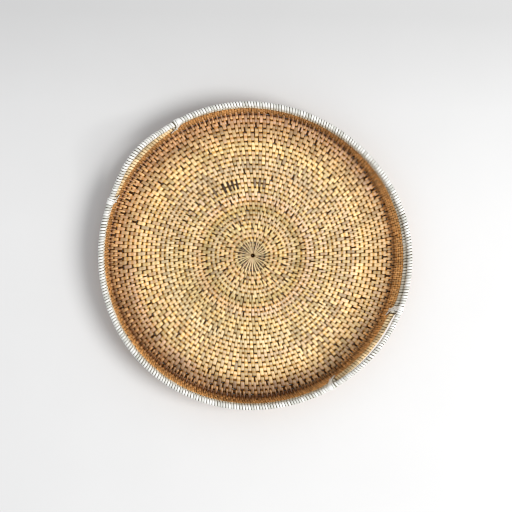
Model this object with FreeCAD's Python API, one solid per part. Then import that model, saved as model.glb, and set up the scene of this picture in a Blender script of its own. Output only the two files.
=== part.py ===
import FreeCAD, Part
import math
import os

# Winnowing basket: a round tray coiled from rattan. One rod runs out in a spiral over the floor
# and on up the wall, bound row to row with flat rattan strip. Two rim rods lie on the wall, bound
# in white. The upper one lifts at each end of the X axis as an arched handle, over a stretch of
# the lower one that is bound in plain rattan. White lashings hold the four places where they part.
# Millimetres, +Z up, origin at the middle of the underside, handles at +X and -X.

Vector = FreeCAD.Vector
UP = Vector(0, 0, 1)
ALONG_Y = Vector(0, 1, 0)

# ---- driving dimensions ----
overall_diameter = 450.0
coil_pitch = 6.8              # from one turn of the wrapped rod to the next
coil_radius = 3.3             # rod with its binding
coil_rod_radius = 2.55        # the bare round rod
underside_flat_depth = 0.15   # how far the floor coils are worn flat where they stand
start_hole_radius = 3.5       # the tightest turn of the coil leaves this hole in the middle
bend_start_radius = 209.5     # where the floor turns sharply up into the wall
bend_radius = 5.0
bend_spread = 1.2             # how much further apart the turns lie round so tight a bend
wall_slope_deg = 78.0
coil_half_turns = 71          # floor and wall together
rim_radius = 4.0              # rim rod with its white wrap
rim_rod_radius = 3.3
rim_row_pitch = 8.1
sill_radius = 3.7             # rim rod with plain binding, under a handle
lower_rim_inset = 0.9         # how far the lower rim row stands in from the upper one
handle_half_span_deg = 17.0   # half of the opening under a handle, seen from the middle
handle_joint_deg = 18.5       # where the upper rim rod starts to lift, under the lashing
handle_rise = 22.0
lashing_width = 10.0
lashing_thickness = 0.9
lashing_reach = 20.0          # how far it comes down the inner wall below the lower rim row
rod_stock_length = 4450.0     # longest length of rod before the next one is spliced on
fit_gap = 0.05                # between a rod and what is wound on it
end_gap = 0.05                # between two lengths that meet end to end
wall_arcs_per_half_turn = 8   # short arcs, so that no face of the shaved turn is long and thin

# ---- worked out from those ----
spiral_start_radius = start_hole_radius + coil_radius
floor_run = bend_start_radius - spiral_start_radius
wall_slope = math.radians(wall_slope_deg)
bend_run = bend_radius * wall_slope / bend_spread
floor_coil_height = coil_radius - underside_flat_depth
floor_half_turns = int(floor_run / (coil_pitch / 2))
coil_end = coil_half_turns - 0.5     # the shaved end of the coil runs out before the last quarter turn
upper_rim_centre = overall_diameter / 2 - rim_radius
lower_rim_centre = upper_rim_centre - lower_rim_inset
end_deg = math.degrees(end_gap / lower_rim_centre)


def coil_profile(half_turn):
    """Distance from the middle and height above the floor coil of the rod after so many half turns."""
    run = half_turn * coil_pitch / 2
    if run <= floor_run:
        return spiral_start_radius + run, 0.0
    past_floor = run - floor_run
    turned = min(past_floor * bend_spread / bend_radius, wall_slope)
    straight = max(past_floor - bend_run, 0.0)
    out = bend_start_radius + bend_radius * math.sin(turned) + straight * math.cos(wall_slope)
    up = bend_radius * (1 - math.cos(turned)) + straight * math.sin(wall_slope)
    return out, up


wall_top = 2 * coil_radius + coil_profile(coil_half_turns - 2)[1]
lower_rim_height = wall_top + rim_radius + fit_gap
upper_rim_height = lower_rim_height + rim_row_pitch


# ---- round paths: a chain of arcs, each an axis, a centre and an angle ----
class Arc:
    def __init__(self, centre, axis, degrees):
        self.centre = centre
        self.axis = axis
        self.degrees = degrees


def coil_point(half_turn, coil_height):
    """The rod's middle after whole half turns: on +X after an even number, on -X after an odd one."""
    out, up = coil_profile(half_turn)
    side = 1 if half_turn % 2 == 0 else -1
    return Vector(side * out, 0, coil_height + up)


def coil_heading(half_turn):
    return ALONG_Y if half_turn % 2 == 0 else ALONG_Y * -1


def coil_arcs(first, last, coil_height, pieces=1):
    """Half circles, each in so many pieces, that join the coil's points. The last may be cut short."""
    arcs = []
    for half_turn in range(first, math.ceil(last)):
        start = coil_point(half_turn, coil_height)
        end = coil_point(half_turn + 1, coil_height)
        centre = (start + end) * 0.5
        axis = (start - centre).cross(coil_heading(half_turn)).normalize()
        arcs += [Arc(centre, axis, 180.0 * min(last - half_turn, 1) / pieces)] * pieces
    return arcs


# ---- solids wound along a path ----
def round_section(centre, heading, radius):
    return [Part.makeCircle(radius, centre, heading)]


def standing_section(centre, heading, radius, flat_depth):
    """A circle across the path with its underside worn flat: an arc and a chord."""
    sideways = heading.cross(UP)
    low = centre + UP * (flat_depth - radius)
    half_chord = math.sqrt(radius**2 - (radius - flat_depth) ** 2)
    left = low - sideways * half_chord
    right = low + sideways * half_chord
    return [Part.Arc(left, centre + UP * radius, right).toShape(), Part.makeLine(right, left)]


def side_faces(section, arcs):
    """The faces that a section's edges sweep along the arcs, and the section at the far end."""
    faces = []
    for arc in arcs:
        for edge in section:
            faces += edge.revolve(arc.centre, arc.axis, arc.degrees).Faces
        section = [edge.rotated(arc.centre, arc.axis, arc.degrees) for edge in section]
    return faces, section


def closed_solid(faces):
    shell = Part.Compound(faces)
    shell.sewShape(1e-4)
    solid = Part.Solid(shell.Shells[0])
    if solid.Volume < 0:
        solid.reverse()
    return solid


def wound_rod(section, arcs):
    faces, far_section = side_faces(section, arcs)
    ends = [Part.Face(Part.Wire(section)), Part.Face(Part.Wire(far_section))]
    return closed_solid(faces + ends)


def wound_sleeve(outer, inner, arcs):
    outer_faces, far_outer = side_faces(outer, arcs)
    inner_faces, far_inner = side_faces(inner, arcs)
    ends = []
    for around, hole in ((outer, inner), (far_outer, far_inner)):
        wires = [Part.Wire(around), Part.Wire(hole)]
        ends += Part.makeFace(wires, "Part::FaceMakerBullseye").Faces
    return closed_solid(outer_faces + inner_faces + ends)


# ---- floor and wall coil ----
def coil_lengths(first, last, coil_height):
    """The coil from first to last half turn, as the lengths that one stock rod reaches."""
    lengths = []
    begun = first
    used = 0.0
    for half_turn in range(first, math.ceil(last)):
        start = coil_point(half_turn, coil_height)
        arc = coil_arcs(half_turn, min(half_turn + 1, last), coil_height)[0]
        needed = math.radians(arc.degrees) * arc.centre.distanceToPoint(start)
        if used + needed > rod_stock_length:
            lengths.append((begun, half_turn))
            begun = half_turn
            used = 0.0
        used += needed
    lengths.append((begun, last))
    return lengths


def floor_rod(first, last):
    start = coil_point(first, floor_coil_height)
    arcs = coil_arcs(first, last, floor_coil_height)
    return wound_rod(round_section(start, coil_heading(first), coil_rod_radius), arcs)


def floor_binding(first, last):
    start = coil_point(first, floor_coil_height)
    heading = coil_heading(first)
    outer = standing_section(start, heading, coil_radius, underside_flat_depth)
    inner = round_section(start, heading, coil_rod_radius + fit_gap)
    return wound_sleeve(outer, inner, coil_arcs(first, last, floor_coil_height))


def below_rim(solid):
    """What is left of a wall coil once it is shaved level under the rim."""
    size = 2 * overall_diameter
    above = Part.makeBox(size, size, size, Vector(-size / 2, -size / 2, wall_top))
    return solid.cut(above).Solids[0]


def wall_rod(first, last):
    start = coil_point(first, coil_radius)
    arcs = coil_arcs(first, last, coil_radius, wall_arcs_per_half_turn)
    return wound_rod(round_section(start, coil_heading(first), coil_rod_radius), arcs)


def wall_binding(first, last):
    start = coil_point(first, coil_radius)
    heading = coil_heading(first)
    outer = round_section(start, heading, coil_radius)
    inner = round_section(start, heading, coil_rod_radius + fit_gap)
    arcs = coil_arcs(first, last, coil_radius, wall_arcs_per_half_turn)
    return wound_sleeve(outer, inner, arcs)


# ---- rim and handles ----
def rim_path(centreline, height, from_deg, to_deg):
    """Start, heading and arc of a level stretch of rim between two bearings."""
    bearing = math.radians(from_deg)
    start = Vector(centreline * math.cos(bearing), centreline * math.sin(bearing), height)
    heading = Vector(-math.sin(bearing), math.cos(bearing), 0)
    return start, heading, [Arc(Vector(0, 0, height), UP, to_deg - from_deg)]


def two_arcs(start, heading, end, end_heading):
    """Two arcs that meet smoothly and join two places with given headings."""
    across = end - start
    a = 2 * (1 - heading.dot(end_heading))
    b = across.dot(heading + end_heading)
    reach = (-b + math.sqrt(b * b + a * across.dot(across))) / a
    start_corner = start + heading * reach
    end_corner = end - end_heading * reach
    middle_heading = (end_corner - start_corner).normalize()
    first = corner_arc(start, heading, start_corner, middle_heading)
    meeting = (start_corner + end_corner) * 0.5
    return [first, corner_arc(meeting, middle_heading, end_corner, end_heading)]


def corner_arc(place, heading, corner, next_heading):
    """The arc that leaves place with a heading and takes the next one past the corner."""
    axis = heading.cross(next_heading).normalize()
    turn = math.acos(heading.dot(next_heading))
    radius = place.distanceToPoint(corner) / math.tan(turn / 2)
    return Arc(place + axis.cross(heading) * radius, axis, math.degrees(turn))


def handle_path():
    """The right handle from where it lifts, over the crest, to where it comes down again."""
    joint = handle_joint_deg
    start, heading, _ = rim_path(upper_rim_centre, upper_rim_height, -joint, 0)
    end, end_heading, _ = rim_path(upper_rim_centre, upper_rim_height, joint, 0)
    crest = Vector(upper_rim_centre, 0, upper_rim_height + handle_rise)
    arcs = two_arcs(start, heading, crest, ALONG_Y)
    arcs += two_arcs(crest, ALONG_Y, end, end_heading)
    return start, heading, arcs


def half_turned(arc):
    """The same arc on the other side of the basket."""
    centre = Vector(-arc.centre.x, -arc.centre.y, arc.centre.z)
    return Arc(centre, Vector(-arc.axis.x, -arc.axis.y, arc.axis.z), arc.degrees)


def upper_rod():
    """One rod all round, with both handles in it. Its ends meet at the middle of the back."""
    level = Vector(0, 0, upper_rim_height)
    quarter = 90 - handle_joint_deg
    opening = math.degrees(end_gap / upper_rim_centre)
    start, heading, _ = rim_path(upper_rim_centre, upper_rim_height, 90, 0)
    right_arcs = handle_path()[2]
    arcs = [Arc(level, UP, quarter)]
    arcs += [half_turned(arc) for arc in right_arcs]
    arcs.append(Arc(level, UP, 2 * quarter))
    arcs += right_arcs
    arcs.append(Arc(level, UP, quarter - opening))
    return wound_rod(round_section(start, heading, rim_rod_radius), arcs)


def lower_rod():
    """One rod all round. Its ends meet at the middle of the front."""
    opening = math.degrees(end_gap / lower_rim_centre)
    start, heading, arcs = rim_path(lower_rim_centre, lower_rim_height, -90, 270 - opening)
    return wound_rod(round_section(start, heading, rim_rod_radius), arcs)


def wound_over(path, radius):
    """A sleeve of wrapping of one outer radius over a stretch of rim rod."""
    start, heading, arcs = path
    outer = round_section(start, heading, radius)
    inner = round_section(start, heading, rim_rod_radius + fit_gap)
    return wound_sleeve(outer, inner, arcs)


# ---- lashings ----
def lashing(bearing_deg):
    """A band over the rim: up the inner wall, over both rows and a little way down the outside."""
    gap = 0.3
    top_row = coil_profile(coil_half_turns - 2)[0]
    wall_inside = top_row - coil_radius / math.sin(wall_slope) - gap
    wall_mark = wall_top - coil_radius
    foot = wall_top - lashing_reach
    foot_inside = wall_inside - (wall_mark - foot) / math.tan(wall_slope)
    rim_inside = lower_rim_centre - rim_radius - gap
    outside = upper_rim_centre + rim_radius + gap
    reach = rim_radius + gap
    inner_leg = [
        Vector(foot_inside, 0, foot),
        Vector(wall_inside, 0, wall_mark),
        Vector(rim_inside, 0, lower_rim_height),
        Vector(upper_rim_centre - reach, 0, upper_rim_height),
    ]
    outer_leg = [Vector(outside, 0, upper_rim_height), Vector(outside, 0, lower_rim_height)]
    inward = Vector(-lashing_thickness, 0, 0)
    edges = [Part.makeLine(a, b) for a, b in zip(inner_leg, inner_leg[1:])]
    edges.append(crown_arc(inner_leg[-1], outer_leg[0], reach))
    edges.append(Part.makeLine(outer_leg[0], outer_leg[1]))
    edges.append(Part.makeLine(outer_leg[1], outer_leg[1] - inward))
    edges.append(Part.makeLine(outer_leg[1] - inward, outer_leg[0] - inward))
    edges.append(crown_arc(outer_leg[0] - inward, inner_leg[-1] + inward, reach + lashing_thickness))
    back = [point + inward for point in reversed(inner_leg)]
    edges += [Part.makeLine(a, b) for a, b in zip(back, back[1:])]
    edges.append(Part.makeLine(back[-1], inner_leg[0]))
    band = Part.Face(Part.Wire(edges)).extrude(ALONG_Y * lashing_width)
    band.translate(ALONG_Y * (-lashing_width / 2))
    return band.rotated(Vector(), UP, bearing_deg)


def crown_arc(start, end, radius):
    """The half circle over the upper rim row."""
    crown = Vector(upper_rim_centre, 0, upper_rim_height + radius)
    return Part.Arc(start, crown, end).toShape()


# ---- the whole basket ----
def coil_parts():
    parts = {}
    floor_lengths = coil_lengths(0, floor_half_turns, floor_coil_height)
    for number, (first, last) in enumerate(floor_lengths, 1):
        parts[f"floor_rod_{number}"] = floor_rod(first, last)
        parts[f"floor_binding_{number}"] = floor_binding(first, last)
    wall_lengths = coil_lengths(floor_half_turns, coil_end, coil_radius)
    for number, (first, last) in enumerate(wall_lengths, 1):
        parts[f"wall_rod_{number}"] = below_rim(wall_rod(first, last))
        parts[f"wall_binding_{number}"] = below_rim(wall_binding(first, last))
    return parts


def rim_parts():
    parts = {"rim_lower_rod": lower_rod(), "rim_upper_rod": upper_rod()}
    for side, turn in (("back", 0), ("front", 180)):
        low_end = handle_half_span_deg
        lower = rim_path(lower_rim_centre, lower_rim_height, turn + low_end, turn + 180 - low_end)
        parts[f"rim_lower_wrap_{side}"] = wound_over(lower, rim_radius)
        top_end = handle_joint_deg + end_deg
        upper = rim_path(upper_rim_centre, upper_rim_height, turn + top_end, turn + 180 - top_end)
        parts[f"rim_upper_wrap_{side}"] = wound_over(upper, rim_radius)
    return parts


def handle_parts():
    parts = {}
    sill_end = handle_half_span_deg - end_deg
    sill = rim_path(lower_rim_centre, lower_rim_height, -sill_end, sill_end)
    for side, turn in (("right", 0), ("left", 180)):
        parts[f"handle_wrap_{side}"] = wound_over(handle_path(), rim_radius).rotated(Vector(), UP, turn)
        parts[f"sill_binding_{side}"] = wound_over(sill, sill_radius).rotated(Vector(), UP, turn)
    bearing = handle_joint_deg
    parts["lashing_right_back"] = lashing(bearing)
    parts["lashing_left_back"] = lashing(180 - bearing)
    parts["lashing_left_front"] = lashing(180 + bearing)
    parts["lashing_right_front"] = lashing(-bearing)
    return parts


def all_parts():
    parts = coil_parts()
    parts.update(rim_parts())
    parts.update(handle_parts())
    return parts


if __name__ == "__main__":
    os.makedirs("parts", exist_ok=True)
    for name, shape in all_parts().items():
        shape.exportStep(f"parts/{name}.step")
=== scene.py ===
import math

import bpy
import numpy as np
from mathutils import Matrix, Vector


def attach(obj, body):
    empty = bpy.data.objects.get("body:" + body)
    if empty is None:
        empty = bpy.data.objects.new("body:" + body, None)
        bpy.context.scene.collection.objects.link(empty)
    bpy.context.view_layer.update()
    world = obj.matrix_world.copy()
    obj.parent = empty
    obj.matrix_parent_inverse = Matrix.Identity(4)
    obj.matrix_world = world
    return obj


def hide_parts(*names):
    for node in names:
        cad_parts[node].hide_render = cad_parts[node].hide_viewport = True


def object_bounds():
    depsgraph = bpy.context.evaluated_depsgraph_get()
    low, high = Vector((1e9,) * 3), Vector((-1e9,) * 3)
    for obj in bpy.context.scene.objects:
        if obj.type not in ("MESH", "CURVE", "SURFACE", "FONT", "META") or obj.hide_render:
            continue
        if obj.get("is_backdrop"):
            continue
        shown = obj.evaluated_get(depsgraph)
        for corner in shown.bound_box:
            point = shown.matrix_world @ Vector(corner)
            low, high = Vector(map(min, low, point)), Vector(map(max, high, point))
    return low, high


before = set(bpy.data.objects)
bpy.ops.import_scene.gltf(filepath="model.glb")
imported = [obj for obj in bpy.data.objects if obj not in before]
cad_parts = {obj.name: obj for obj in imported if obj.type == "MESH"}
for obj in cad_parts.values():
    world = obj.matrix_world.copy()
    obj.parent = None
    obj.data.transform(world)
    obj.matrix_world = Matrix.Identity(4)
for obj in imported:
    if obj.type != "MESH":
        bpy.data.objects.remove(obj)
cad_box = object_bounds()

# A coiled rattan tray. Metres, +Z up, handles at +X and -X. A "bearing" is the angle about +Z from
# +X in radians; along the coil it counts on from the middle outwards, one turn after another.

MM = 0.001
TURN = 2 * math.pi
UP = np.array([0.0, 0.0, 1.0])
rng = np.random.default_rng(7)

# ---- the sizes that the basket is designed to ----
OUTER_RADIUS = 225 * MM
COIL_PITCH = 6.8 * MM                  # from one turn of the bound rod to the next
COIL_RADIUS = 3.3 * MM                 # rod with its binding
FLAT_DEPTH = 0.15 * MM                 # how far the floor coils are worn level underneath
SPIRAL_START = 6.8 * MM                # from the middle to where the rod begins
BEND_START = 209.5 * MM                # where the floor turns up into the wall
BEND_RADIUS = 5 * MM
BEND_SPREAD = 1.2                      # how much further apart the turns lie round the bend
WALL_SLOPE = math.radians(78)
COIL_END = 35.25 * TURN
LEVEL_FROM = COIL_END - 0.75 * TURN    # from here on the coil is shaved level under the rim
ROD_STOCK = 4450 * MM                  # longest length of rod before the next one begins
RIM_RADIUS = 4 * MM                    # rim rod with its white strip
RIM_ROD_RADIUS = 3.3 * MM
RIM_ROW_PITCH = 8.1 * MM
RIM_CLEARANCE = 0.05 * MM              # between the top of the wall and the lower rim row
SILL_RADIUS = 3.7 * MM                 # rim rod with plain binding, under a handle
LOWER_RIM_INSET = 0.9 * MM             # how far the lower rim row stands in from the upper one
HANDLE_HALF_SPAN = math.radians(17)    # half of the opening under a handle
HANDLE_JOINT = math.radians(18.5)      # where the upper rim rod starts to lift
HANDLE_RISE = 22 * MM
LASHING_REACH = 20 * MM

FLOOR_RUN = BEND_START - SPIRAL_START
BEND_RUN = BEND_RADIUS * WALL_SLOPE / BEND_SPREAD
FLOOR_END = int(FLOOR_RUN / (COIL_PITCH / 2)) * TURN / 2   # the last whole half turn on the floor

BEARING_STEP = 1e-4      # radians: a small step on either side that gives a heading
RUN_STEP = 1e-5          # the same in metres, along a row of the rim


# ---- where the coil runs ----
def coil_profile(bearing):
    """Distance from the middle, and height above the floor coil, of the rod at a bearing."""
    run = bearing / TURN * COIL_PITCH
    past = np.clip(run - FLOOR_RUN, 0, None)
    turned = np.minimum(past * BEND_SPREAD / BEND_RADIUS, WALL_SLOPE)
    straight = np.clip(past - BEND_RUN, 0, None)
    out = SPIRAL_START + np.minimum(run, FLOOR_RUN)
    out = out + BEND_RADIUS * np.sin(turned) + straight * math.cos(WALL_SLOPE)
    up = BEND_RADIUS * (1 - np.cos(turned)) + straight * math.sin(WALL_SLOPE)
    return out, up


def coil_place(bearing):
    """The rod's middle at a bearing."""
    out, up = coil_profile(bearing)
    height = COIL_RADIUS - FLAT_DEPTH + up + FLAT_DEPTH * np.clip(up / BEND_RADIUS, 0, 1)
    return np.stack([out * np.cos(bearing), out * np.sin(bearing), height], axis=-1)


WALL_TOP = 2 * COIL_RADIUS + float(coil_profile(LEVEL_FROM)[1])
LOWER_RIM_HEIGHT = WALL_TOP + RIM_RADIUS + RIM_CLEARANCE
UPPER_RIM_HEIGHT = LOWER_RIM_HEIGHT + RIM_ROW_PITCH
UPPER_RIM_CENTRE = OUTER_RADIUS - RIM_RADIUS
LOWER_RIM_CENTRE = UPPER_RIM_CENTRE - LOWER_RIM_INSET


def rod_lengths(first, last):
    """The coil from first to last bearing, cut where one stock rod has run out and the next begins."""
    half = TURN / 2
    begun, used, lengths = first, 0.0, []
    for bearing in np.arange(first, last - 1e-6, half):
        middle = min(bearing + half, last)
        radius = float(coil_profile((bearing + middle) / 2)[0])
        needed = (middle - bearing) * radius
        if used + needed > ROD_STOCK:
            lengths.append((begun, bearing))
            begun, used = bearing, 0.0
        used += needed
    lengths.append((begun, last))
    return lengths


# ---- handmade shape: the finished rim isn't quite round and the handles lean ----
OUT_OF_ROUND = (          # waves round the rim, how far out, and the bearing of a crest
    (1, 1.5 * MM, math.radians(-5)),
    (2, 2.7 * MM, math.radians(26)),
    (3, 2.0 * MM, math.radians(34)),
)
LOWER_ROWS_GIVE = 0.4     # how much of an outward pull the wall and the lower rim row follow
LEAN_RIGHT = -4.0 * MM    # how far the crest of each handle leans outwards
LEAN_LEFT = 2.2 * MM
SILL_IN_RIGHT = 4.5 * MM  # how far the top of the wall stands in under each handle
SILL_IN_LEFT = 2.0 * MM
HANDLE_PULL_FROM = 1.3 * HANDLE_JOINT    # where a handle's own lean begins, and over how wide
HANDLE_PULL_FADE = 0.6 * HANDLE_JOINT    # an angle it comes in
MOST_RISEN = 1.3
WALL_FOOT = 9 * MM        # up to here nothing is pulled out of round


def smooth(share):
    """A share from 0 to 1 that starts and stops gently."""
    share = np.clip(share, 0, 1)
    return share * share * (3 - 2 * share)


def handmade(points, row_height=None):
    """The same points once the wall and rim have been pulled out of round, as hands leave them.

    A rim row keeps its round section, because it is pulled as a whole, by its own height.
    """
    x, y, z = points[:, 0], points[:, 1], points[:, 2]
    level = z if row_height is None else row_height
    bearing = np.arctan2(y, x)
    radius = np.hypot(x, y)
    pulled = sum(far * np.cos(waves * (bearing - crest)) for waves, far, crest in OUT_OF_ROUND)
    climbed = smooth((level - WALL_FOOT) / (LOWER_RIM_HEIGHT - WALL_FOOT))
    above = smooth((level - LOWER_RIM_HEIGHT) / RIM_ROW_PITCH)
    follows = np.where(pulled > 0, LOWER_ROWS_GIVE + (1 - LOWER_ROWS_GIVE) * above, 1)
    out = climbed * follows * pulled
    off_axis = np.abs(np.arctan2(y, np.abs(x)))
    by_handle = smooth((HANDLE_PULL_FROM - off_axis) / HANDLE_PULL_FADE)
    risen = np.clip((z - UPPER_RIM_HEIGHT) / HANDLE_RISE, 0, MOST_RISEN)
    out = out + by_handle * risen * np.where(x > 0, LEAN_RIGHT, LEAN_LEFT)
    out = out - by_handle * climbed * (1 - above) * np.where(x > 0, SILL_IN_RIGHT, SILL_IN_LEFT)
    scale = (radius + out) / np.maximum(radius, 1e-6)
    return np.stack([x * scale, y * scale, z], axis=1)


# ---- meshes ----
def add_mesh(name, node, slot, points, faces, material, **looks):
    """A piece from point and face arrays. looks are float attributes, one value per point."""
    mesh = bpy.data.meshes.new(name)
    corners = np.concatenate([np.asarray(group, np.int32).ravel() for group in faces])
    sizes = np.concatenate([np.full(len(group), group.shape[1], np.int32) for group in faces])
    mesh.vertices.add(len(points))
    mesh.vertices.foreach_set("co", np.asarray(points, np.float32).ravel())
    mesh.loops.add(len(corners))
    mesh.loops.foreach_set("vertex_index", corners)
    mesh.polygons.add(len(sizes))
    starts = np.concatenate([[0], np.cumsum(sizes)[:-1]]).astype(np.int32)
    mesh.polygons.foreach_set("loop_start", starts)
    mesh.polygons.foreach_set("use_smooth", np.full(len(sizes), True))
    for look, values in looks.items():
        attribute = mesh.attributes.new(look, "FLOAT", "POINT")
        attribute.data.foreach_set("value", np.asarray(values, np.float32))
    mesh.update(calc_edges=True)
    mesh.validate()
    mesh.materials.append(material)
    piece = bpy.data.objects.new(name, mesh)
    bpy.context.scene.collection.objects.link(piece)
    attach(piece, "root")
    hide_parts(node)


# a flat strip's section: across it from edge to edge, and out from its middle surface
STRIP_ACROSS = np.array([-1.0, -0.80, 0.0, 0.80, 1.0])
STRIP_OUT = np.array([-0.5, 0.35, 0.85, 0.35, -0.5])


def strips(centres, outward, sideways, half_width, thickness, closed, looks):
    """Flat strips swept along S paths of K steps. Returns points, faces and looks of every point.

    centres, outward and sideways are (S, K, 3); half_width is (S, K); looks are (S, K) or (S, 1).
    """
    count, steps, _ = centres.shape
    ring = len(STRIP_ACROSS)
    from_middle = half_width[:, :, None, None] * STRIP_ACROSS[None, None, :, None]
    across = sideways[:, :, None, :] * from_middle
    out = outward[:, :, None, :] * (thickness * STRIP_OUT)[None, None, :, None]
    points = (centres[:, :, None, :] + across + out).reshape(-1, 3)
    first = (np.arange(count) * steps * ring)[:, None, None]
    along = np.arange(steps if closed else steps - 1)[None, :, None]
    around = np.arange(ring)[None, None, :]
    after = (along + 1) % steps
    beside = (around + 1) % ring
    quads = np.stack([
        first + along * ring + around,
        first + along * ring + beside,
        first + after * ring + beside,
        first + after * ring + around,
    ], axis=-1).reshape(-1, 4)
    faces = [quads]
    if not closed:
        start = (np.arange(count) * steps * ring)[:, None]
        faces.append(start + np.arange(ring)[None, ::-1])
        faces.append(start + (steps - 1) * ring + np.arange(ring)[None, :])
    values = {}
    for look, value in looks.items():
        wide = np.broadcast_to(value[:, :, None], (count, steps, ring))
        values[look] = wide.reshape(-1)
    edge = np.broadcast_to(np.abs(STRIP_ACROSS)[None, None, :], (count, steps, ring))
    values["edge"] = edge.reshape(-1)
    side = STRIP_ACROSS[None, None, :] * half_width[:, :, None] / MM
    values["across"] = side.reshape(-1)
    return points, faces, values


def unit(vectors):
    return vectors / np.linalg.norm(vectors, axis=-1, keepdims=True)


# ---- long stitches: each strip lies over its own row of the coil and the row inside it ----
CORE_RADIUS = 2.45 * MM
OWN_ROW_REACH = 2.80 * MM      # from a rod's middle to the strip's middle surface
INNER_ROW_REACH = 2.90 * MM
BRIDGE_SAG = 0.80 * MM
STRIP_THICKNESS = 0.45 * MM
STITCH_LEAN = math.tan(math.radians(4))
SUN_TURNS = 3                  # the first turns are bound by spokes that all pass through the hole
SUN_SPOKES = 28
SUN_HOLE = 3.5 * MM
HOLE_SHARES = np.array([0.12, 0.35, 0.62, 0.80, 0.95])    # of the hole, up a spoke's inner end
STITCH_TILT = 6.0              # degrees, how unevenly the strips lie
PINCH = 0.05                   # how much narrower a stitch's inner end is
GRAIN_LENGTH = 500             # mm of grain, from which each strip takes its own stretch


def stitch_spacing(radius):
    """How far apart the maker sets the long stitches of one row, at a distance from the middle."""
    return (8.0 + 1.7 * smooth((radius - 0.105) / 0.085) - 2.1 * smooth((radius - 0.202) / 0.010)) * MM


def long_stitch_bearings():
    """Each long stitch goes between two of the row before. Where they stand too far apart, two do."""
    start = SUN_TURNS * TURN
    spoke = TURN / SUN_SPOKES
    bearings = [start - TURN + spoke * (i + rng.uniform(-0.12, 0.12)) for i in range(SUN_SPOKES)]
    index = 0
    while True:
        gap = bearings[index + 1] - bearings[index]
        base = bearings[index] + TURN
        radius = float(coil_profile(base)[0])
        # a leaning stitch lands between its neighbours only if it starts a little further on
        drift = STITCH_LEAN * COIL_PITCH / radius
        if base + gap > COIL_END:
            break
        parts = 2 if gap * radius > stitch_spacing(radius) * rng.uniform(1.22, 1.5) else 1
        for part in range(parts):
            share = (part + 0.5 + rng.uniform(-0.06, 0.06)) / parts
            bearings.append(base + gap * share + drift)
        index += 1
    return np.array(bearings[SUN_SPOKES:])


def lots(count, shortest, longest):
    """A random number for each stitch that stays the same along one binding strip."""
    values = np.zeros(count)
    at = 0
    while at < count:
        length = int(rng.integers(shortest, longest))
        values[at:at + length] = rng.random()
        at += length
    return values


def belt(own, inner, pitch, sag):
    """Outline of a strip round its own rod and the inner one, in the plane across the rows.

    own and inner are reaches and pitch the distance between rods, one of each per stitch.
    Returns across and up coordinates and the outward directions, each (S, K).
    """
    half = np.radians(np.arange(-90, 91, 30))
    far = np.radians(np.arange(90, 271, 30))
    one = np.ones((len(own), 1))
    bridge = (own + inner)[:, None] / 2 - sag[:, None]
    middle = -pitch[:, None] / 2
    across = [own[:, None] * np.cos(half), middle]
    across += [-pitch[:, None] + inner[:, None] * np.cos(far), middle]
    up = [own[:, None] * np.sin(half), bridge]
    up += [inner[:, None] * np.sin(far), -bridge]
    out_across = [one * np.cos(half), 0 * one, one * np.cos(far), 0 * one]
    out_up = [one * np.sin(half), one, one * np.sin(far), -one]
    return tuple(np.concatenate(part, axis=1) for part in (across, up, out_across, out_up))


def row_frames(bearing):
    """The rod's middle, how far it is from the row inside, and across, along and up directions."""
    own = coil_place(bearing)
    inner = coil_place(bearing - TURN)
    across = own - inner
    pitch = np.linalg.norm(across, axis=1)
    across = across / pitch[:, None]
    along = coil_place(bearing + BEARING_STEP) - coil_place(bearing - BEARING_STEP)
    along = along - across * np.sum(along * across, axis=1, keepdims=True)
    along = unit(along)
    return own, pitch, across, along, np.cross(across, along)


def long_stitches(bearing, width, lot, stain_and_shade):
    """Points, faces and looks of the long stitches at these bearings."""
    count = len(bearing)
    own, pitch, across, along, up = row_frames(bearing)
    lift = rng.uniform(0, 0.12, count) * MM
    reach_own = OWN_ROW_REACH + lift
    reach_inner = INNER_ROW_REACH + lift
    sag = BRIDGE_SAG * rng.uniform(0.5, 1.4, count)
    x, y, out_x, out_y = belt(reach_own, reach_inner, pitch, sag)
    lean = STITCH_LEAN * rng.uniform(0.7, 1.3, count)
    shift = (x + pitch[:, None] / 2) * lean[:, None]
    tilt = np.radians(rng.normal(0, STITCH_TILT, count))[:, None, None]
    centres = own[:, None, :] + across[:, None, :] * x[:, :, None] + up[:, None, :] * y[:, :, None]
    centres = centres + along[:, None, :] * shift[:, :, None]
    outward = across[:, None, :] * out_x[:, :, None] + up[:, None, :] * out_y[:, :, None]
    sideways = np.broadcast_to(along[:, None, :], outward.shape)
    outward, sideways = outward + sideways * tilt, sideways - outward * tilt
    half_width = np.repeat(width[:, None] / 2, x.shape[1], axis=1)
    # the inner end is pinched where it goes down between the stitches of the row further in
    pinched = 1 - PINCH * smooth((-x - pitch[:, None]) / reach_inner[:, None])
    half_width = half_width * pinched
    depth = 1 - np.clip(np.abs(y) / reach_own[:, None], 0, 1)
    steps = np.hypot(np.diff(x, axis=1), np.diff(y, axis=1))
    run = np.concatenate([np.zeros((count, 1)), np.cumsum(steps, axis=1)], axis=1)
    looks = {
        "lot": lot[:, None],
        "tone": rng.random(count)[:, None],
        "stain_and_shade": stain_and_shade[:, None],
        "depth": depth,
        "along": run / MM + rng.uniform(0, GRAIN_LENGTH, count)[:, None],
    }
    return strips(centres, outward, sideways, half_width, STRIP_THICKNESS, True, looks)


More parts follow.
